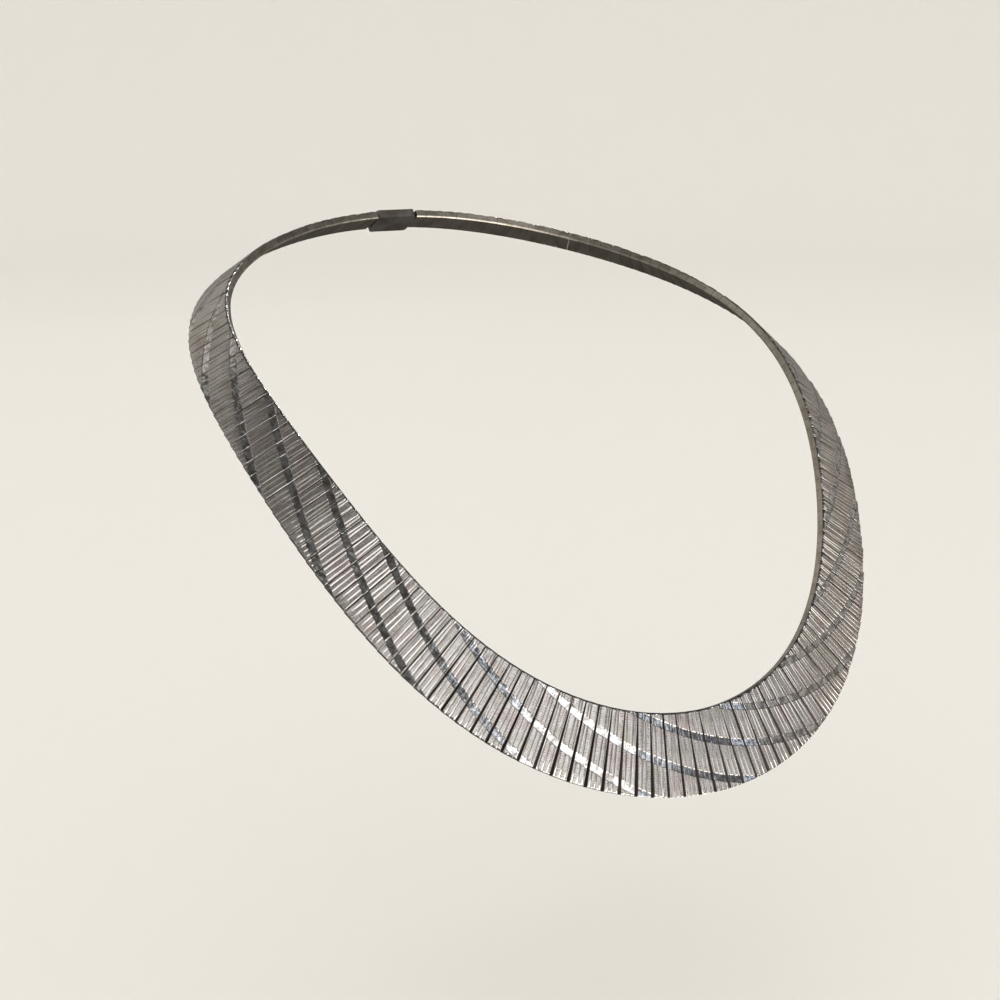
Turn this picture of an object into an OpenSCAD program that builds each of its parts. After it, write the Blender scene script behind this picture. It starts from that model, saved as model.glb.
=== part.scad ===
// Fringe collar necklace: a closed band of narrow folded metal slats, hinged
// side by side on a wire that runs through their top folds, joined at the nape
// by a plain box clasp. It is modelled as worn: high at the nape, low in front.
// Origin at the middle of the clasp's inner face, +Z up, front towards -Y.

/* [Neck line] */
// Half width of the neck line at the sides
half_w = 63.1; // [60:0.1:66]
// Half depth of the neck line, front to back
half_d = 57.0; // [54:0.1:60]
// Half of the drop from the nape to the front
half_drop = 40.9; // [36:0.1:44]

/* [Slats] */
// Slats that fit round the whole neck line, those the clasp takes included
places = 164; // [160:2:168]
// Places that the clasp takes
clasp_places = 4; // [4:2:6]
// Mean length of a slat
slat_len = 10.9; // [10:0.1:12]
// How much longer the front slats are than the mean, and the back ones shorter
slat_grade = 4.3; // [3:0.1:5]
// Width of a slat at its fold
slat_w = 2.42; // [2.3:0.01:2.45]
// Widening of a side slat for each millimetre of its length
slat_taper = 0.01; // [0:0.001:0.011]
// How much more the front slats widen than the side ones
front_flare = 0.9; // [0:0.1:1]
// Thickness of the folded sheet
sheet = 0.35; // [0.3:0.05:0.4]
// Thickness over the fold
fold = 1.9; // [1.2:0.05:2]
// Outside radius of the fold's bends
bend_r = 0.4; // [0.2:0.05:0.5]
// Thickness over both leaves at a slat's free end
end_t = 1.0; // [0.8:0.05:1.2]

/* [Hinge wire] */
// Wire diameter
wire_d = 0.4; // [0.3:0.05:0.45]
// Length of each wire end inside the clasp
wire_seat = 1.5; // [1:0.1:2]

/* [Clasp] */
// Gap between the clasp and the slats beside it
clasp_gap = 0.15; // [0.1:0.05:0.3]
// Corner radius of the clasp
clasp_r = 0.8; // [0.3:0.1:1.5]

/* [Hidden] */
$fn = 32;
silver = "#9a9088";
wire_silver = "#8d8780";

// Waves round the loop that shape the neck line, one row each. The cosine of
// each turn gives depth and rise, the sine gives the width, all in mm, and the
// lean of the slats away from the vertical in degrees.
SIDE = 0;
DEPTH = 1;
RISE = 2;
LEAN = 3;
waves = [
    [half_w, half_d, -half_drop, -14.2],
    [-1.8, -3.1, -6.6, -6.5],
    [1.6, 0.6, -1.3, -1.2],
    [0.9, 1.1, 0.4, 0],
];
mean_lean = 47.5;

function wave_sum(col, a, i = 0) =
    i == len(waves) ? 0 :
    waves[i][col] * (col == SIDE ? sin((i + 1) * a) : cos((i + 1) * a)) + wave_sum(col, a, i + 1);

// Point of the neck line at angle a, 0 at the front and 180 at the nape
function line_point(a) = [wave_sum(SIDE, a), -wave_sum(DEPTH, a), wave_sum(RISE, a)];

// Length along the line from the front to each step of the angle
step = 1;
run = [
    for (a = 0, s = 0; a <= 180; s = s + norm(line_point(a + step) - line_point(a)), a = a + step)
        [s, a]
];
pitch = run[180 / step][0] / (places / 2);
function angle_at(s) = sign(s) * lookup(abs(s), run);

function unit(v) = v / norm(v);
function slat_length(a) = slat_len + slat_grade * cos(a);

// Frame of the slat at angle a: its corner point on the neck line, and its
// directions along the band, up the slat and out of its face
function along(a) = unit(line_point(a + 0.1) - line_point(a - 0.1));
function level(a) = unit(cross(along(a), [0, 0, 1]));
function up(a) =
    let (lean = mean_lean + wave_sum(LEAN, a), steep = cross(level(a), along(a)))
    cos(lean) * steep - sin(lean) * level(a);
function face(a) = cross(along(a), up(a));

nape_len = slat_length(180);
nape = line_point(180) - up(180) * nape_len / 2 - face(180) * fold;

module place_at(a) {
    p = line_point(a) - nape;
    x = along(a);
    y = up(a);
    z = face(a);
    multmatrix([[x[0], y[0], z[0], p[0]], [x[1], y[1], z[1], p[1]], [x[2], y[2], z[2], p[2]], [0, 0, 0, 1]])
        children();
}

// Angle of each flat that makes up a bend
bend_step = 30;

// Side view of a slat: a sheet doubled over, with a front and a back leaf that
// leave room for the hinge wire in the fold and a slit at the free end
module slat_profile(length) {
    front_bend = [for (t = [90:-bend_step:0]) bend_r * [sin(t) - 1, cos(t) - 1]];
    back_bend = [for (t = [0:bend_step:90]) bend_r * [sin(t) - 1, 1 - cos(t)] - [0, fold]];
    polygon(concat(
        [[-length, 0], [-length, -sheet], [-sheet, -sheet], [-sheet, sheet - fold]],
        [[-length, sheet - end_t], [-length, -end_t]],
        back_bend,
        front_bend
    ));
}

module slat(length, flare) {
    wide = slat_w + slat_taper * (1 + front_flare * flare) * length;
    intersection() {
        rotate([90, 0, 90])
            translate([0, 0, -wide / 2])
                linear_extrude(wide)
                    slat_profile(length);
        translate([0, 0, -fold])
            linear_extrude(fold)
                polygon([[-slat_w / 2, 0], [slat_w / 2, 0], [wide / 2, -length], [-wide / 2, -length]]);
    }
}

slats_a_side = (places - clasp_places) / 2;

module slats(side) {
    for (i = [0:slats_a_side - 1]) {
        a = side * angle_at((i + 0.5) * pitch);
        place_at(a)
            slat(slat_length(a), max(cos(a), 0));
    }
}

module slats_left() {
    color(silver) slats(-1);
}

module slats_right() {
    color(silver) slats(1);
}

// The wire follows the middle of the fold from slat to slat
wire_y = -sheet - wire_d / 2 - 0.1;
wire_z = -fold / 2;
clasp_w = clasp_places * pitch - (pitch - slat_w) - 2 * clasp_gap;
function at_frame(a, x, y, z) =
    line_point(a) - nape + x * along(a) + y * up(a) + z * face(a);
wire_stops = concat(
    [at_frame(180, -clasp_w / 2 + wire_seat, wire_y, wire_z)],
    [for (i = [slats_a_side - 1:-1:0]) at_frame(angle_at((i + 0.5) * pitch), 0, wire_y, wire_z)],
    [for (i = [0:slats_a_side - 1]) at_frame(-angle_at((i + 0.5) * pitch), 0, wire_y, wire_z)],
    [at_frame(180, clasp_w / 2 - wire_seat, wire_y, wire_z)]
);
wire_sides = 6;

module hinge_wire() {
    last = len(wire_stops) - 1;
    rings = [
        for (i = [0:last])
            let (
                ahead = unit(wire_stops[min(i + 1, last)] - wire_stops[max(i - 1, 0)]),
                flat = unit(cross(ahead, [0, 0, 1])),
                rise = cross(flat, ahead)
            )
            for (k = [0:wire_sides - 1])
                let (t = 360 * k / wire_sides)
                wire_stops[i] + wire_d / 2 * (cos(t) * flat + sin(t) * rise)
    ];
    walls = [
        for (i = [0:last - 1])
            for (k = [0:wire_sides - 1])
                let (m = (k + 1) % wire_sides)
                [i * wire_sides + k, (i + 1) * wire_sides + k, (i + 1) * wire_sides + m, i * wire_sides + m]
    ];
    near_cap = [for (k = [0:wire_sides - 1]) k];
    far_cap = [for (k = [wire_sides - 1:-1:0]) last * wire_sides + k];
    color(wire_silver)
        polyhedron(points = rings, faces = concat(walls, [near_cap, far_cap]));
}

// Plain box with a blind hole in each side for the wire's ends
module clasp() {
    bore_r = wire_d / 2 + 0.1;
    color(silver)
        place_at(180)
            difference() {
                translate([0, 0, -fold])
                    linear_extrude(fold) {
                        translate([-clasp_w / 2, -nape_len + clasp_r])
                            square([clasp_w, nape_len - 2 * clasp_r]);
                        translate([-clasp_w / 2 + clasp_r, -nape_len])
                            square([clasp_w - 2 * clasp_r, nape_len]);
                        for (x = [clasp_r - clasp_w / 2, clasp_w / 2 - clasp_r], y = [-clasp_r, clasp_r - nape_len])
                            translate([x, y])
                                circle(clasp_r);
                    }
                for (side = [-1, 1])
                    translate([side * clasp_w / 2, wire_y, wire_z])
                        rotate([0, 90, 0])
                            cylinder(h = 2 * (wire_seat + 0.3), r = bore_r, center = true);
            }
}

slats_left();
slats_right();
hinge_wire();
clasp();
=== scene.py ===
import bmesh
import bpy
import math
import numpy as np
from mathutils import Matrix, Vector


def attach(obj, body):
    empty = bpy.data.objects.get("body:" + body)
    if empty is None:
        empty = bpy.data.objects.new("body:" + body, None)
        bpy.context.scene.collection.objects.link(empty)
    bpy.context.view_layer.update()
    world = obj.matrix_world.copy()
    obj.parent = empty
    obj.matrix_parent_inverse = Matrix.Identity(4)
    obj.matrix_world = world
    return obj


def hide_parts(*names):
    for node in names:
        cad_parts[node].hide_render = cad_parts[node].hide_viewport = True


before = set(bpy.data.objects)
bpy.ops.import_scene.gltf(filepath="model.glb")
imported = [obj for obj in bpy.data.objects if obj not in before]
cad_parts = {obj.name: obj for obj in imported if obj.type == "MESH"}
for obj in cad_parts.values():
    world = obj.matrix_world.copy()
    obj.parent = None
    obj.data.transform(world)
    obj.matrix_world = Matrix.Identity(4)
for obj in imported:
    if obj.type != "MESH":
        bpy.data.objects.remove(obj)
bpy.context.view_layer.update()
mm = 0.001  # the shapes below are worked out in millimetres
print("frame loaded")


# Neck line, with the same waves and slat rules as the solids

neckLine = {
    "width": (63.1, -1.8, 1.6, 0.9),  # sideways, sine of 1 to 4 turns
    "depth": (57.0, -3.1, 0.6, 1.1),  # front to back, cosine of 1 to 4 turns
    "rise": (-40.9, -6.6, -1.3, 0.4),  # height, cosine of 1 to 4 turns
    "lean": (-14.2, -6.5, -1.2, 0.0),  # degrees off the vertical, cosine of 1 to 4 turns
    "meanLean": 47.5,
    "places": 164,  # slats that fit round, the clasp's four included
    "claspPlaces": 4,
    "nudge": 0.1,  # degrees either way that give the line's direction
}

slatSheet = {
    "meanLength": 10.9,
    "grade": 4.3,  # front slats are this much longer
    "width": 2.42,  # at the fold
    "taper": 0.010,  # widening per millimetre of length
    "frontFlare": 0.9,  # how much more the front slats widen
    "sheet": 0.35,
    "fold": 1.9,
    "bendRadius": 0.4,
    "endThickness": 1.0,
}

turns = np.arange(1, 5)


def unit(v):
    return v / np.linalg.norm(v, axis=-1, keepdims=True)


def linePoint(angle):
    a = np.multiply.outer(np.radians(np.asarray(angle, float)), turns)
    side = np.sin(a) @ neckLine["width"]
    depth = -(np.cos(a) @ neckLine["depth"])
    rise = np.cos(a) @ neckLine["rise"]
    return np.stack([side, depth, rise], -1)


lineAngles = np.arange(0.0, 181.0)  # a degree apart, from the front to the nape
lineRun = np.append(0.0, np.cumsum(np.linalg.norm(np.diff(linePoint(lineAngles), axis=0), axis=1)))
pitch = lineRun[-1] / (neckLine["places"] / 2)


def angleAt(run):
    return np.sign(run) * np.interp(np.abs(run), lineRun, lineAngles)


def slatFrame(angle):
    # corner point on the neck line, then along the band, up the slat and out of its face
    along = unit(linePoint(angle + neckLine["nudge"]) - linePoint(angle - neckLine["nudge"]))
    level = unit(np.cross(along, [0.0, 0.0, 1.0]))
    steep = np.cross(level, along)
    lean = math.radians(neckLine["meanLean"] + np.cos(math.radians(angle) * turns) @ neckLine["lean"])
    up = math.cos(lean) * steep - math.sin(lean) * level
    return linePoint(angle), along, up, np.cross(along, up)


def slatLength(angle):
    return slatSheet["meanLength"] + slatSheet["grade"] * math.cos(math.radians(angle))


napeCorner, _, napeUp, napeFace = slatFrame(180.0)
nape = napeCorner - napeUp * slatLength(180.0) / 2 - napeFace * slatSheet["fold"]


def placed(local, angle):
    # local x along the band, y up the slat, z out of its face, to metres in the frame
    corner, along, up, face = slatFrame(angle)
    world = corner - nape + local[..., :1] * along + local[..., 1:2] * up + local[..., 2:] * face
    return world * mm


# Colours and nodes

def linear(hexColour):
    parts = [int(hexColour[i:i + 2], 16) / 255 for i in (1, 3, 5)]
    return tuple(c / 12.92 if c < 0.04045 else ((c + 0.055) / 1.055) ** 2.4 for c in parts) + (1.0,)


def link(tree, node, sockets):
    for name, socket in sockets.items():
        tree.links.new(socket, node.inputs[name])


def addNode(tree, kind, settings=None, links=None):
    # a setting is a socket's value, a property of the node, or a colour ramp's stops
    node = tree.nodes.new("ShaderNode" + kind)
    for name, value in (settings or {}).items():
        if name == "stops":
            elements = node.color_ramp.elements
            while len(elements) < len(value):
                elements.new(0.5)
            for element, (position, colour) in zip(elements, value):
                element.position, element.color = position, linear(colour)
        elif isinstance(name, int) or name in node.inputs:
            node.inputs[name].default_value = value
        else:
            setattr(node, name, value)
    link(tree, node, links or {})
    return node


def newMaterial(name, settings):
    material = bpy.data.materials.new(name)
    material.use_nodes = True
    tree = material.node_tree
    tree.nodes.clear()
    shader = addNode(tree, "BsdfPrincipled", settings)
    addNode(tree, "OutputMaterial", None, {"Surface": shader.outputs[0]})
    return material, tree, shader


def stretched(tree, acrossSize, lengthSize):
    # millimetres over the flat band, scaled so that one pattern cell has these sizes
    sheet = addNode(tree, "UVMap", {"uv_map": "sheetMap"})
    scale = (1 / acrossSize, 1 / lengthSize, 1.0)
    return addNode(tree, "VectorMath", {"operation": "MULTIPLY", 1: scale}, {0: sheet.outputs[0]}).outputs[0]


# Sterling silver sheet, engraved along each slat and brushed the same way, then worn and
# tarnished: a soft grey-brown ground with pink and olive clouds, and bright-cut lines.
engravedFinish = {
    "tarnish": ((0.36, "#d0cbbd"), (0.5, "#e6e1db"), (0.63, "#d9c8c1")),  # olive, clean, pink
    "darkLines": "#9a8f87",
    "cutSilver": "#ddd6ce",
    "roughness": (0.26, 0.4),
    "scratchRange": (0.35, 0.65),  # the scratches' values that give these two
    "cutRoughness": 0.2,
    "anisotropy": 0.5,  # brushing along the slat spreads light across it
    # each mark's mm across and along the slat, and its detail; real ones are finer and would not show
    "streak": (0.34, 9.0, 2.0),
    "scratch": (0.12, 1.6, 3.0),
    "tick": (0.55, 0.3, 1.0),  # short marks across the slat
    "pit": (0.24, 0.24, 2.0),
    "cloud": (7.0, 5.0, 4.0),  # mm, patches of tarnish
    "chatter": 1.35,  # gives a mark every 0.42 mm down the slat, where the tool rocked; real ones are finer
    "chatterDrift": {"Distortion": 5.0, "Detail": 1.0, "Detail Scale": 1.6},
    "wear": {"scratch": 0.4, "tick": 0.6, "pit": 0.4, "chatter": 0.3},  # weights beside the streaks' 1
    "wearRange": (1.0, 1.38),  # their sum on a dark line, and on clean ground
    "relief": {"scratch": 0.2, "tick": 0.7, "chatter": 0.12},  # the same for their depth
    "reliefDepth": 0.052,  # mm
    "cutRelief": 0.4,  # share of it that shows inside the cuts
}


def engravedSilver():
    f = engravedFinish
    settings = {"Metallic": 1.0, "Anisotropic": f["anisotropy"]}
    material, tree, shader = newMaterial("engravedTarnishedSilver", settings)
    marks = {}
    for name in ("streak", "scratch", "tick", "pit", "cloud"):
        across, along, detail = f[name]
        marks[name] = addNode(tree, "TexNoise", {"Detail": detail, "Scale": 1.0},
                              {"Vector": stretched(tree, across, along)}).outputs[0]
    chatter = addNode(tree, "TexWave", {"bands_direction": "Y", "Scale": 1.0, **f["chatterDrift"]},
                      {"Vector": stretched(tree, f["chatter"], f["chatter"])})
    marks["chatter"] = chatter.outputs["Fac"]

    def summed(total, weights):
        for name, weight in weights.items():
            links = {0: marks[name], 2: total}
            total = addNode(tree, "Math", {"operation": "MULTIPLY_ADD", 1: weight}, links).outputs[0]
        return total

    slatTone = addNode(tree, "Attribute", {"attribute_name": "slatTone"})
    cut = addNode(tree, "Attribute", {"attribute_name": "engraved"})
    tinted = summed(slatTone.outputs["Fac"], {"cloud": 1.0})
    tarnish = addNode(tree, "ValToRGB", {"stops": f["tarnish"]}, {0: tinted})
    dark, bright = f["wearRange"]
    clean = addNode(tree, "MapRange", {"From Min": dark, "From Max": bright},
                    {"Value": summed(marks["streak"], f["wear"])})
    ground = addNode(tree, "Mix", {"data_type": "RGBA", 6: linear(f["darkLines"])},
                     {0: clean.outputs[0], 7: tarnish.outputs[0]})
    colour = addNode(tree, "Mix", {"data_type": "RGBA", 7: linear(f["cutSilver"])},
                     {0: cut.outputs["Fac"], 6: ground.outputs[2]})
    low, high = f["scratchRange"]
    smooth, rough = f["roughness"]
    gloss = addNode(tree, "MapRange", {"From Min": low, "From Max": high, "To Min": smooth, "To Max": rough},
                    {"Value": marks["scratch"]})
    cutGloss = addNode(tree, "Mix", {3: f["cutRoughness"]}, {0: cut.outputs["Fac"], 2: gloss.outputs[0]})
    relief = summed(marks["streak"], f["relief"])
    calm = addNode(tree, "MapRange", {"To Min": 1.0, "To Max": f["cutRelief"]},
                   {"Value": cut.outputs["Fac"]})
    height = addNode(tree, "Math", {"operation": "MULTIPLY"}, {0: relief, 1: calm.outputs[0]})
    bump = addNode(tree, "Bump", {"Distance": f["reliefDepth"] * mm, "Strength": 1.0},
                   {"Height": height.outputs[0]})
    tangent = addNode(tree, "Tangent", {"direction_type": "UV_MAP", "uv_map": "sheetMap"})
    link(tree, shader, {"Base Color": colour.outputs[2], "Roughness": cutGloss.outputs[0],
                        "Normal": bump.outputs[0], "Tangent": tangent.outputs[0]})
    return material


# The same sheet rubbed smooth with a burnisher: bands that mirror the room, slightly wavy,
# with a mottled film of tarnish that breaks up the bright reflections.
burnishedFinish = {
    "film": ((0.68, "#9e9892"), (0.87, "#e3e1de")),  # tarnish, then clean silver
    "filmPatch": (1.6, 1.3),  # mm across and along the slat
    "stroke": (1.1, 0.77),  # mm, strokes of the tool
    "strokeDepth": 0.042,
    "clothScratch": (0.16, 1.2),  # mm
    "scratchShare": 0.6,  # their weight beside the film's 1
    "roughness": (0.06, 0.18),
}


def burnishedSilver():
    f = burnishedFinish
    material, tree, shader = newMaterial("burnishedSilver", {"Metallic": 1.0})
    wave = addNode(tree, "TexNoise", {"Detail": 1.0, "Scale": 1.0},
                   {"Vector": stretched(tree, *f["stroke"])})
    film = addNode(tree, "TexNoise", {"Detail": 4.0, "Scale": 1.0},
                   {"Vector": stretched(tree, *f["filmPatch"])})
    fine = addNode(tree, "TexNoise", {"Detail": 3.0, "Scale": 1.0},
                   {"Vector": stretched(tree, *f["clothScratch"])})
    mottle = addNode(tree, "Math", {"operation": "MULTIPLY_ADD", 1: f["scratchShare"]},
                     {0: fine.outputs[0], 2: film.outputs[0]})
    colour = addNode(tree, "ValToRGB", {"stops": f["film"]}, {0: mottle.outputs[0]})
    smooth, rough = f["roughness"]
    gloss = addNode(tree, "MapRange", {"To Min": smooth, "To Max": rough}, {"Value": fine.outputs[0]})
    bump = addNode(tree, "Bump", {"Distance": f["strokeDepth"] * mm, "Strength": 1.0},
                   {"Height": wave.outputs[0]})
    link(tree, shader, {"Base Color": colour.outputs[0], "Roughness": gloss.outputs[0],
                        "Normal": bump.outputs[0]})
    return material


# Rolled silver sheet as it left the mill, on the fold and the back: satin, warm with wear.
rolledFinish = {
    "film": ((0.35, "#c2b5a4"), (0.6, "#e2d9ca")),  # worn, then clean silver
    "filmPatch": (3.0, 1.5),  # mm
    "millLine": (2.5, 0.15),  # mm, lines along the band
    "roughness": (0.24, 0.46),
}


def rolledSilver():
    f = rolledFinish
    material, tree, shader = newMaterial("rolledSilverSheet", {"Metallic": 1.0})
    line = addNode(tree, "TexNoise", {"Detail": 3.0, "Scale": 1.0},
                   {"Vector": stretched(tree, *f["millLine"])})
    film = addNode(tree, "TexNoise", {"Detail": 3.0, "Scale": 1.0},
                   {"Vector": stretched(tree, *f["filmPatch"])})
    slatTone = addNode(tree, "Attribute", {"attribute_name": "slatTone"})
    tinted = addNode(tree, "Math", {"operation": "ADD"}, {0: film.outputs[0], 1: slatTone.outputs["Fac"]})
    colour = addNode(tree, "ValToRGB", {"stops": f["film"]}, {0: tinted.outputs[0]})
    smooth, rough = f["roughness"]
    gloss = addNode(tree, "MapRange", {"To Min": smooth, "To Max": rough}, {"Value": line.outputs[0]})
    link(tree, shader, {"Base Color": colour.outputs[0], "Roughness": gloss.outputs[0]})
    return material


# Painted shade: dark silver on the slat sides and in the room in the fold, so that the gaps between the
# slats stay dark.
paintedGapShadeFinish = {
    "film": ((0.3, "#4a413b"), (0.7, "#7b6f65")),  # darker, then lighter painted shade
    "filmPatch": (0.8, 0.8),  # mm
    "roughness": 0.55,
}


def paintedGapShadeSilver():
    f = paintedGapShadeFinish
    settings = {"Metallic": 1.0, "Roughness": f["roughness"]}
    material, tree, shader = newMaterial("paintedGapShadeSilver", settings)
    film = addNode(tree, "TexNoise", {"Detail": 3.0, "Scale": 1.0},
                   {"Vector": stretched(tree, *f["filmPatch"])})
    colour = addNode(tree, "ValToRGB", {"stops": f["film"]}, {0: film.outputs[0]})
    link(tree, shader, {"Base Color": colour.outputs[0]})
    return material


# Engraved slats: one joined mesh for each side of the band

engraving = {
    "cutPeriod": 0.69,  # pitches between pairs of cuts, out of step with the slats
    "pairCount": 4,  # pairs that may reach one slat
    "pairReach": 0.62,  # pitches from a slat's middle to the first of them
    "pairAtFold": 0.085,  # half the distance of a pair, in pitches
    "pairAtEnd": 0.1725,  # evenly spaced cuts at the free end
    "pairOpens": 0.75,  # share of the length over which a pair spreads
    "cutHalfWidth": 0.18,  # mm
    "cutDepth": 0.107,
    "cutFade": 0.15,  # cuts get shallower by this share towards the free end
    "bandCount": 5,  # burnished bands that may reach one slat
    "bandPeriod": 7.17,  # slats between them
    "bandStart": 0.8,  # where the front one leaves the fold, in slats from the centre
    "bandSlope": 0.985,  # mm down the slat for each slat
    "bandSlopeGrowth": 0.003,
    "bandHalfHeight": 0.78,  # mm, along the slat
    "bandWall": 0.14,  # over which it slopes down on either side
    "bandDepth": 0.07,
    "bandGhost": 0.045,  # share of the cuts' depth that survives the burnishing
    "foldGhost": 0.25,  # more of it beside the fold
    "foldGhostLength": 2.4,
    "foldMargin": 0.02,  # from the bend to the face's first row
    "edgeBevel": 0.06,  # mm, across the slat
    "edgeDrop": 0.04,  # and how far it goes down
    "endBevel": 0.14,
    "cornerRound": 0.12,  # how far the bend's ends are rounded off
    "foldCrown": 0.12,  # how far the bend drops towards the slat's sides
    "bendSteps": 5,  # rows round each bend
    "backGap": 0.06,  # between the back leaves, which nearly touch, so the gaps stay dark
    "backShorter": 0.02,  # the wider back leaves end sooner, to keep the solids' box
    "rollJitter": 1.1,  # degrees, how unevenly the slats lie
    "pitchJitter": 0.4,
    "toneJitter": 0.022,  # how far their tarnish differs
    "seed": 7,
    "weld": 0.002,  # mm, points nearer than this become one
}

engraved, burnished, rolled, paintedGapShade = range(4)  # places of the four finishes on a slat, the last of them painted shade
cutBottom = 0.5  # a leaning tool cuts one wide bright wall and one steep one
trough = (-1.0, 0.42, cutBottom, 0.56, 1.0)  # a cut's points across, in half widths
bandTouch = 0.1  # from this share of a band on, a cut isn't shaded as one
bandCover = 0.4  # and from this share on, the ground counts as burnished


def slatRule(place):
    # place counts slats from the front centre, negative on the -X side
    angle = float(angleAt(place * pitch))
    flare = slatSheet["frontFlare"] * max(math.cos(math.radians(angle)), 0.0)
    taper = slatSheet["taper"] * (1 + flare)

    def wide(d):
        return slatSheet["width"] + taper * d

    return angle, slatLength(angle), wide


def frontFace(place, length, wide):
    # x runs across the slat and d down it from the fold, in mm; u is the same spot counted in slats.
    # The columns follow the cuts and the rows follow the bands, so both get crisp edges.
    e = engraving

    def pitchAt(d):
        return pitch * wide(d) / slatSheet["width"]

    pairs = math.floor((place - e["pairReach"]) / e["cutPeriod"]) + np.arange(e["pairCount"])
    cuts = [(n * e["cutPeriod"], side) for n in pairs for side in (-1, 1)]

    def cutX(cut, d):
        opened = np.clip(d / (e["pairOpens"] * length), 0, 1)
        half = e["pairAtFold"] + (e["pairAtEnd"] - e["pairAtFold"]) * opened
        return (cut[0] + cut[1] * half - place) * pitchAt(d)

    slope = e["bandSlope"] + e["bandSlopeGrowth"] * place
    firstBand = math.floor((place - 0.5 - length / slope - e["bandStart"]) / e["bandPeriod"])
    bands = [firstBand + n for n in range(e["bandCount"])]

    def bandCentre(n, u):
        return slope * (u - e["bandStart"] - n * e["bandPeriod"])

    rowOffsets = (-e["bandHalfHeight"], e["bandWall"] - e["bandHalfHeight"],
                  e["bandHalfHeight"] - e["bandWall"], e["bandHalfHeight"])
    top, bottom = slatSheet["bendRadius"] + e["foldMargin"], length - e["endBevel"]
    cols, rows = 4 + len(trough) * len(cuts), 2 + len(rowOffsets) * len(bands)
    x = np.zeros((cols, rows))
    d = np.tile(np.linspace(top, bottom, rows), (cols, 1))
    for _ in range(3):  # columns and rows bend each other, and settle in three rounds
        for j in range(rows):
            lim = wide(d[:, j]) / 2 - e["edgeBevel"]
            raw = [-lim]
            for cut in cuts:
                mid = cutX(cut, d[:, j])
                raw += [mid + t * e["cutHalfWidth"] for t in trough]
            raw.append(lim)
            stack = np.array([r[i + 1] for i, r in enumerate(raw)])
            x[1:-1, j] = np.maximum.accumulate(np.clip(stack, -lim[1:-1], lim[1:-1]))
            x[0, j], x[-1, j] = -wide(d[0, j]) / 2, wide(d[-1, j]) / 2
        u = place + x / pitchAt(d)
        raw = [np.full(cols, top)]
        for n in reversed(bands):
            first = 1 + len(rowOffsets) * (bands[-1] - n)
            raw += [bandCentre(n, u[:, first + k]) + off for k, off in enumerate(rowOffsets)]
        raw.append(np.full(cols, bottom))
        d = np.maximum.accumulate(np.clip(np.array(raw), top, bottom), axis=0).T

    u = place + x / pitchAt(d)
    bandShare = np.zeros_like(x)
    for n in bands:
        near = (e["bandHalfHeight"] - np.abs(d - bandCentre(n, u))) / e["bandWall"]
        bandShare = np.maximum(bandShare, np.clip(near, 0, 1))
    cutShare = np.zeros_like(x)
    for cut in cuts:
        off = (x - cutX(cut, d)) / e["cutHalfWidth"]
        walls = np.minimum((off + 1) / (cutBottom + 1), (1 - off) / (1 - cutBottom))
        cutShare = np.maximum(cutShare, np.clip(walls, 0, 1))
    return x, d, bandShare, cutShare


def frontDepth(x, d, bandShare, cutShare, length, wide, roll, nod):
    # how far each point lies under the flat face, with the slat's own small roll and nod
    e = engraving
    ghost = e["bandGhost"] + e["foldGhost"] * np.clip(1 - d / e["foldGhostLength"], 0, 1)
    depth = e["cutDepth"] * (1 - e["cutFade"] * d / length)
    sink = e["bandDepth"] * bandShare + depth * cutShare * (1 - (1 - ghost) * bandShare)
    sink[0] += e["edgeDrop"]
    sink[-1] += e["edgeDrop"]
    sink += math.radians(roll) * x + abs(math.radians(roll)) * wide(d) / 2
    return sink + math.radians(abs(nod)) * (d if nod > 0 else length - d)


def sideView(length, front):
    # the closed outline, as distances down the slat and heights out of its face: front rows from
    # the free end up, the two bends, the back leaf, then the room between the leaves
    s = slatSheet
    bend = np.radians(np.linspace(0, 90, engraving["bendSteps"] + 1))[1:]
    upFold = s["bendRadius"] - s["bendRadius"] * np.sin(bend)
    intoFold = s["bendRadius"] - s["bendRadius"] * np.cos(bend)
    endT, gauge, fold = s["endThickness"], s["sheet"], s["fold"]
    tip = length - engraving["backShorter"]
    loopD = [length] + [0.0] * front + list(upFold) + list(intoFold)
    loopD += [length / 2, tip, tip, gauge, gauge, length]
    loopZ = [0.0] * (1 + front) + list(-intoFold) + list(upFold - fold)
    loopZ += [-(fold + endT) / 2, -endT, gauge - endT, gauge - fold, -gauge, -gauge]
    return bend, loopD, loopZ


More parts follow.
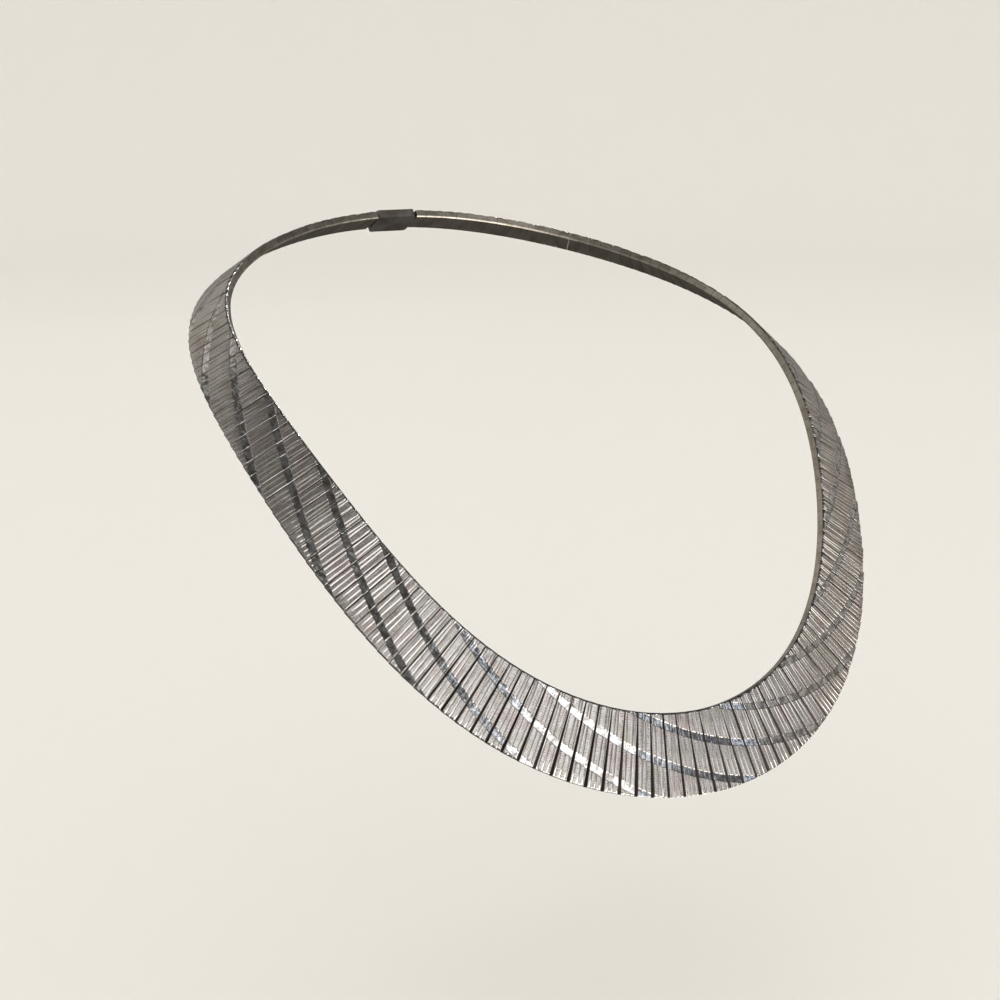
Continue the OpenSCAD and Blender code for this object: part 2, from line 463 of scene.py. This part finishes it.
def slatGrid(place, roll, nod):
    e, s = engraving, slatSheet
    angle, length, wide = slatRule(place)
    x, d, bandShare, cutShare = frontFace(place, length, wide)
    sink = frontDepth(x, d, bandShare, cutShare, length, wide, roll, nod)
    cols, front = d.shape
    bend, loopD, loopZ = sideView(length, front)
    bends, count = len(bend), len(loopD)
    core = np.stack([np.zeros(count), -np.array(loopD), np.array(loopZ)], -1)
    steps = [placed(core, float(angleAt((place + n) * pitch))) for n in (-1, 0, 1)]
    room = np.minimum(*(np.linalg.norm(np.diff(steps, axis=0), axis=2) / mm)) / 2 - e["backGap"] / 2
    local = np.zeros((cols, count, 3))
    order = np.arange(front)[::-1]
    local[:, 1:1 + front] = np.stack([x[:, order], -d[:, order], -sink[:, order]], -1)
    topShare = x[:, 0] / (wide(d[:, 0]) / 2)
    endShare = x[:, -1] / (wide(d[:, -1]) / 2)
    for j in [0] + list(range(1 + front, count)):
        nearEnd = j == 0 or loopD[j] > 0.75 * length
        share = endShare if nearEnd else topShare
        spread = max(0.0, room[j] - wide(loopD[j]) / 2) * min(1.0, -loopZ[j] / s["sheet"])
        if front < j < front + bends:
            spread -= e["cornerRound"] * math.sin(math.pi * (j - front) / bends)
        local[:, j, 0] = share * (wide(loopD[j]) / 2 + spread)
        local[:, j, 1] = -loopD[j]
        local[:, j, 2] = loopZ[j]
        if j == 0:
            local[:, j, 2] = -(sink[:, -1] + e["endBevel"])
        elif j <= front + bends:
            turn = bend[j - front - 1]
            crown = e["foldCrown"] * math.sin(2 * turn) * topShare ** 2
            local[:, j, 2] -= sink[:, 0] * (1 - (j - front) / bends)
            local[:, j, 1] -= crown * math.sin(turn)
            local[:, j, 2] -= crown * math.cos(turn)

    # the map of the flat band goes on over the fold
    flatDown = np.where(np.arange(count) <= front, -local[0, :, 1], np.minimum(local[0, :, 2], 0.0))
    sheetMap = np.stack([place * pitch + local[..., 0], np.broadcast_to(flatDown, (cols, count))], -1)
    sheetMap[:, 1:1 + front, 1] = -local[:, 1:1 + front, 1]

    # faces of the cuts and the bend are shaded smooth, the rest flat
    burnt = bandShare[:, order]
    burnt = (burnt[:-1, :-1] + burnt[1:, :-1] + burnt[:-1, 1:] + burnt[1:, 1:]) / 4
    cutOrBend = np.zeros((cols - 1, count))
    for first in range(2, cols - 2, len(trough)):
        last = first + len(trough) - 1
        cutOrBend[first:last, 1:front] = burnt[first:last] < bandTouch
    cutOrBend[:, front:front + bends] = 1.0
    finish = np.full((cols - 1, count), rolled)
    finish[:, front:front + bends] = burnished
    finish[:, 0] = burnished  # the rim at the free end
    finish[:, 1:front] = np.where(burnt > bandCover, burnished, engraved)
    # the faces inside the fold get the painted shade
    finish[:, front + 2 * bends + 2:-1] = paintedGapShade
    return placed(local, angle), sheetMap, cutOrBend, finish


def slatBand(name, side):
    rng = np.random.default_rng(engraving["seed"] + (side > 0))
    points, faces, maps, cutValues, finishes, tones = [], [], [], [], [], []
    base = 0
    for i in range((neckLine["places"] - neckLine["claspPlaces"]) // 2):
        roll = rng.normal(0, engraving["rollJitter"])
        nod = rng.normal(0, engraving["pitchJitter"])
        tone = rng.normal(0, engraving["toneJitter"])
        world, sheetMap, cutOrBend, finish = slatGrid(side * (i + 0.5), roll, nod)
        cols, loop = world.shape[:2]
        points.append(world.reshape(-1, 3))
        maps.append(sheetMap.reshape(-1, 2))
        column = base + np.arange(cols - 1)[:, None] * loop
        a = column + np.arange(loop)[None, :]
        b = column + (np.arange(loop)[None, :] + 1) % loop
        quads = np.stack([a, a + loop, b + loop, b], -1).reshape(-1, 4)
        faces += quads.tolist()
        faces.append([base + j for j in range(loop)])
        faces.append([base + (cols - 1) * loop + j for j in range(loop)][::-1])
        cutValues += cutOrBend.reshape(-1).tolist() + [0.0, 0.0]
        # both sides of each slat get the painted shade too
        finishes += finish.reshape(-1).tolist() + [paintedGapShade, paintedGapShade]
        tones += [tone] * (len(quads) + 2)
        base += cols * loop
    mesh = bpy.data.meshes.new(name)
    mesh.from_pydata(np.concatenate(points).tolist(), [], faces)
    mesh.polygons.foreach_set("material_index", np.array(finishes, dtype=np.int32))
    mesh.polygons.foreach_set("use_smooth", [value > 0 for value in cutValues])
    for label, values in (("engraved", cutValues), ("slatTone", tones)):
        mesh.attributes.new(label, "FLOAT", "FACE").data.foreach_set("value", values)
    corner = np.empty(len(mesh.loops), dtype=np.int32)
    mesh.loops.foreach_get("vertex_index", corner)
    layer = mesh.uv_layers.new(name="sheetMap")
    layer.data.foreach_set("uv", np.concatenate(maps)[corner].reshape(-1))
    piece = bpy.data.objects.new(name, mesh)
    bpy.context.collection.objects.link(piece)
    return piece


def weld(piece, distance):
    # columns and rows that were cut off at an edge lie on each other, so they are merged
    shape = bmesh.new()
    shape.from_mesh(piece.data)
    bmesh.ops.remove_doubles(shape, verts=shape.verts, dist=distance)
    bmesh.ops.dissolve_degenerate(shape, edges=shape.edges, dist=distance)
    shape.to_mesh(piece.data)
    shape.free()


slatMaterials = (engravedSilver(), burnishedSilver(), rolledSilver(), paintedGapShadeSilver())
for name, side, node in (("engravedSlatsLeft", -1, "slats_left"), ("engravedSlatsRight", 1, "slats_right")):
    piece = slatBand(name, side)
    weld(piece, engraving["weld"] * mm)
    for material in slatMaterials:
        piece.data.materials.append(material)
    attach(piece, "root")
    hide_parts(node)
    print(name, "triangles", sum(len(f.vertices) - 2 for f in piece.data.polygons))


# Drawn silver wire: satin, dull between the slats.
wireFinish = {
    "film": ((0.3, "#7a6f66"), (0.7, "#b9b1a8")),  # dull, then rubbed silver
    "filmPatch": 10 / 9,  # mm
    "roughness": (0.28, 0.42),
}


def drawnSilver():
    f = wireFinish
    material, tree, shader = newMaterial("drawnSilverWire", {"Metallic": 1.0})
    place = addNode(tree, "TexCoord")
    wear = addNode(tree, "TexNoise", {"Scale": 1 / (f["filmPatch"] * mm), "Detail": 3.0},
                   {"Vector": place.outputs["Object"]})
    colour = addNode(tree, "ValToRGB", {"stops": f["film"]}, {0: wear.outputs[0]})
    smooth, rough = f["roughness"]
    gloss = addNode(tree, "MapRange", {"To Min": smooth, "To Max": rough}, {"Value": wear.outputs[0]})
    link(tree, shader, {"Base Color": colour.outputs[0], "Roughness": gloss.outputs[0]})
    return material


# Pressed silver box, brushed and satin from handling.
claspFinish = {
    "film": ((0.35, "#a3978c"), (0.65, "#cbc4bc")),  # worn, then clean silver
    "filmPatch": 4.0,  # mm
    "brushLength": 3.0,
    "brushWidth": 0.15,
    "brushDepth": 0.008,
    "brushStrength": 0.6,
    "roughness": (0.26, 0.44),
}


def satinSilver():
    f = claspFinish
    material, tree, shader = newMaterial("satinSilverClasp", {"Metallic": 1.0})
    place = addNode(tree, "TexCoord")
    thin, long = 1 / (f["brushWidth"] * mm), 1 / (f["brushLength"] * mm)
    stretch = addNode(tree, "VectorMath", {"operation": "MULTIPLY", 1: (long, thin, thin)},
                      {0: place.outputs["Object"]})
    brush = addNode(tree, "TexNoise", {"Scale": 1.0, "Detail": 4.0}, {"Vector": stretch.outputs[0]})
    film = addNode(tree, "TexNoise", {"Scale": 1 / (f["filmPatch"] * mm), "Detail": 3.0},
                   {"Vector": place.outputs["Object"]})
    colour = addNode(tree, "ValToRGB", {"stops": f["film"]}, {0: film.outputs[0]})
    smooth, rough = f["roughness"]
    gloss = addNode(tree, "MapRange", {"To Min": smooth, "To Max": rough}, {"Value": brush.outputs[0]})
    bump = addNode(tree, "Bump", {"Distance": f["brushDepth"] * mm, "Strength": f["brushStrength"]},
                   {"Height": brush.outputs[0]})
    link(tree, shader, {"Base Color": colour.outputs[0], "Roughness": gloss.outputs[0],
                        "Normal": bump.outputs[0]})
    return material


for node, material in (("hinge_wire", drawnSilver()), ("clasp", satinSilver())):
    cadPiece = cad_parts[node]
    cadPiece.data.materials.clear()
    cadPiece.data.materials.append(material)
print("wire and clasp finished")


# Studio: camera at the photograph's angle, pale paper all round, soft lights and reflector cards

viewpoint = {
    "aim": (-8.886, 1.629, -19.930),  # millimetres, from the middle of the neck line
    "azimuth": -33.088,
    "elevation": 14.206,
    "distance": 320.2,
    "focalPixels": 1545.8,  # for a picture 1000 pixels wide
    "sensor": 36.0,
}


def direction(azimuth, elevation):
    a, e = math.radians(azimuth), math.radians(elevation)
    return Vector((math.sin(a) * math.cos(e), -math.cos(a) * math.cos(e), math.sin(e)))


v = viewpoint
aim = Vector(np.array(v["aim"]) - nape) * mm
cameraData = bpy.data.cameras.new("camera")
cameraData.sensor_width = v["sensor"]
cameraData.lens = v["focalPixels"] / 1000 * v["sensor"]
camera = bpy.data.objects.new("camera", cameraData)
bpy.context.collection.objects.link(camera)
camera.location = aim + direction(v["azimuth"], v["elevation"]) * v["distance"] * mm
camera.rotation_euler = (aim - camera.location).to_track_quat("-Z", "Y").to_euler()
bpy.context.scene.camera = camera
print("camera set")

# Matte paper: an even pale ground that lights nothing in the metal.
paper = {
    "colour": "#e9e7e3",
    "roughness": 0.9,
    "floor": -0.15,  # metres
    "inner": 0.6,
    "flat": 1.6,  # from here out it curves up
    "curve": 0.9,
    "curveFrom": 8,  # degrees
    "curveSteps": 12,
    "rim": 2.0,
    "sides": 72,
}


def paperBowl():
    p = paper
    curve = np.radians(np.linspace(p["curveFrom"], 90, p["curveSteps"]))
    profile = [(p["inner"], 0.0), (p["flat"], 0.0)]
    profile += [(p["flat"] + p["curve"] * math.sin(t), p["curve"] - p["curve"] * math.cos(t)) for t in curve]
    profile.append((p["flat"] + p["curve"], p["rim"]))
    points = [(aim.x, aim.y, p["floor"])]
    for far, high in profile:
        for t in np.arange(p["sides"]) * 2 * math.pi / p["sides"]:
            points.append((aim.x + far * math.cos(t), aim.y + far * math.sin(t), p["floor"] + high))
    faces = [(0, 1 + k, 1 + (k + 1) % p["sides"]) for k in range(p["sides"])]
    for i in range(len(profile) - 1):
        near = 1 + i * p["sides"]
        far = near + p["sides"]
        for k in range(p["sides"]):
            m = (k + 1) % p["sides"]
            faces.append((near + k, far + k, far + m, near + m))
    mesh = bpy.data.meshes.new("paperBowl")
    mesh.from_pydata(points, [], faces)
    mesh.polygons.foreach_set("use_smooth", [True] * len(mesh.polygons))
    piece = bpy.data.objects.new("paperBowl", mesh)
    piece.visible_glossy = False
    bpy.context.collection.objects.link(piece)
    settings = {"Base Color": linear(p["colour"]), "Roughness": p["roughness"]}
    mesh.materials.append(newMaterial("mattePaper", settings)[0])


# Sheets of light and dark that the metal mirrors: azimuth, elevation, width and height in
# degrees as seen from the necklace, brightness, colour.
cards = {
    "window": (15.8, 35, 13, 36, 1.55, "#ffffff"),
    "lowWindow": (23, 3.5, 22, 11, 0.7, "#fbfcff"),
    "windowEdge": (25.4, 28, 6.2, 32, 0.75, "#d3dceb"),
    "windowGlow": (-10, 12.5, 36, 27, 1.3, "#f9faff"),
    "brightTable": (8, -20.5, 60, 19, 2.1, "#fffcf8"),
    "lowTable": (26, -37, 40, 14, 2.2, "#fdfeff"),
    "floorGlow": (8, -62, 56, 34, 1.6, "#fffdf9"),
    "sideGlow": (52, -1, 16, 12, 0.5, "#fff8ef"),
    "skyEdge": (6.5, 34, 8, 16, 0.65, "#c9d6e8"),
    "farWindow": (43.5, 15, 4, 20, 1.05, "#cfdcf2"),
    "slateWall": (35, 16, 18, 24, 0.085, "#b6c0d6"),
    "nearWall": (53, 9, 14, 22, 0.08, "#fff6ec"),
    "warmWall": (72, 6, 40, 26, 0.185, "#fff9f1"),
    "dimWall": (113, 4, 42, 28, 0.14, "#fff9f1"),
    "paleWall": (-152, 46, 16, 16, 0.4, "#fffaf3"),
    "backWall": (178, 14, 60, 50, 0.16, "#fffcf8"),
    "rearCard": (-146, 24, 52, 28, 0.13, "#fff6ea"),
    "leftWall": (-90, 14, 90, 40, 0.2, "#fdfdfc"),
    "leftGlow": (-34, 33, 24, 20, 0.22, "#fdfdfc"),
    "highGlow": (-100, 48, 40, 20, 0.22, "#fdfdfc"),
}
cardsAway = 1.0  # metres

ceiling = {
    "away": 2.2,  # metres above the necklace
    "size": 4.4,
    "brightness": 1.05,
    "colour": "#fffdf9",
}

# Small gridded softbox behind the necklace, which only reaches the folds on the far left.
glintLamp = {
    "azimuth": 135.8,
    "elevation": 34.5,
    "away": 0.59,
    "size": (0.07, 0.11),
    "brightness": 0.09,
    "colour": "#ffffff",
    "grid": 8.0,  # degrees that it reaches
    "aimAzimuth": 131.0,
    "aimElevation": 30.0,
}


def softbox(name, azimuth, elevation, away, wide, high, brightness, colour):
    data = bpy.data.lights.new(name, "AREA")
    data.shape = "RECTANGLE"
    data.size, data.size_y = wide, high
    data.energy = 4 * wide * high * brightness  # watts that give the sheet of light this brightness
    data.color = linear(colour)[:3]
    lamp = bpy.data.objects.new(name, data)
    bpy.context.collection.objects.link(lamp)
    lamp.location = aim + direction(azimuth, elevation) * away
    lamp.rotation_euler = (aim - lamp.location).to_track_quat("-Z", "Y").to_euler()
    lamp.visible_camera = False
    return lamp


paperBowl()
c = ceiling
lamp = softbox("ceilingLight", 0.0, 90.0, c["away"], c["size"], c["size"], c["brightness"], c["colour"])
lamp.visible_glossy = False
for name, (azimuth, elevation, wide, high, brightness, colour) in cards.items():
    spans = [2 * cardsAway * math.tan(math.radians(angle) / 2) for angle in (wide, high)]
    lamp = softbox(name, azimuth, elevation, cardsAway, *spans, brightness, colour)
    lamp.visible_diffuse = False
g = glintLamp
place = g["azimuth"], g["elevation"], g["away"]
lamp = softbox("glintLamp", *place, *g["size"], g["brightness"], g["colour"])
lamp.visible_diffuse = False
lamp.data.spread = math.radians(g["grid"])
lamp.rotation_euler = direction(g["aimAzimuth"], g["aimElevation"]).to_track_quat("Z", "Y").to_euler()

# Dim room beyond the cards, paler low down in front and darker low down behind.
room = {
    "walls": "#5a5957",
    "lowInFront": "#807e7b",
    "lowBehind": "#4c4a48",
    "horizon": (0.45, 0.52),  # shares of the way up between which the low tone gives way
    "turn": (-0.3, 0.5),  # from the front to the back, where one gives way to the other
}

world = bpy.data.worlds.new("room")
bpy.context.scene.world = world
world.use_nodes = True
worldTree = world.node_tree
sky = addNode(worldTree, "TexCoord")
axes = addNode(worldTree, "SeparateXYZ", None, {0: sky.outputs["Generated"]})
level = addNode(worldTree, "MapRange", {"From Min": -1.0}, {"Value": axes.outputs["Z"]})
turnFrom, turnTo = room["turn"]
behind = addNode(worldTree, "MapRange", {"From Min": turnFrom, "From Max": turnTo},
                 {"Value": axes.outputs["Y"]})
tones = []
for low in (room["lowInFront"], room["lowBehind"]):
    stops = tuple(zip(room["horizon"], (low, room["walls"])))
    tones.append(addNode(worldTree, "ValToRGB", {"stops": stops}, {0: level.outputs[0]}).outputs[0])
glow = addNode(worldTree, "Mix", {"data_type": "RGBA"}, {0: behind.outputs[0], 6: tones[0], 7: tones[1]})
link(worldTree, worldTree.nodes["Background"], {"Color": glow.outputs[2]})
bpy.context.scene.view_settings.view_transform = "Standard"
print("studio set")
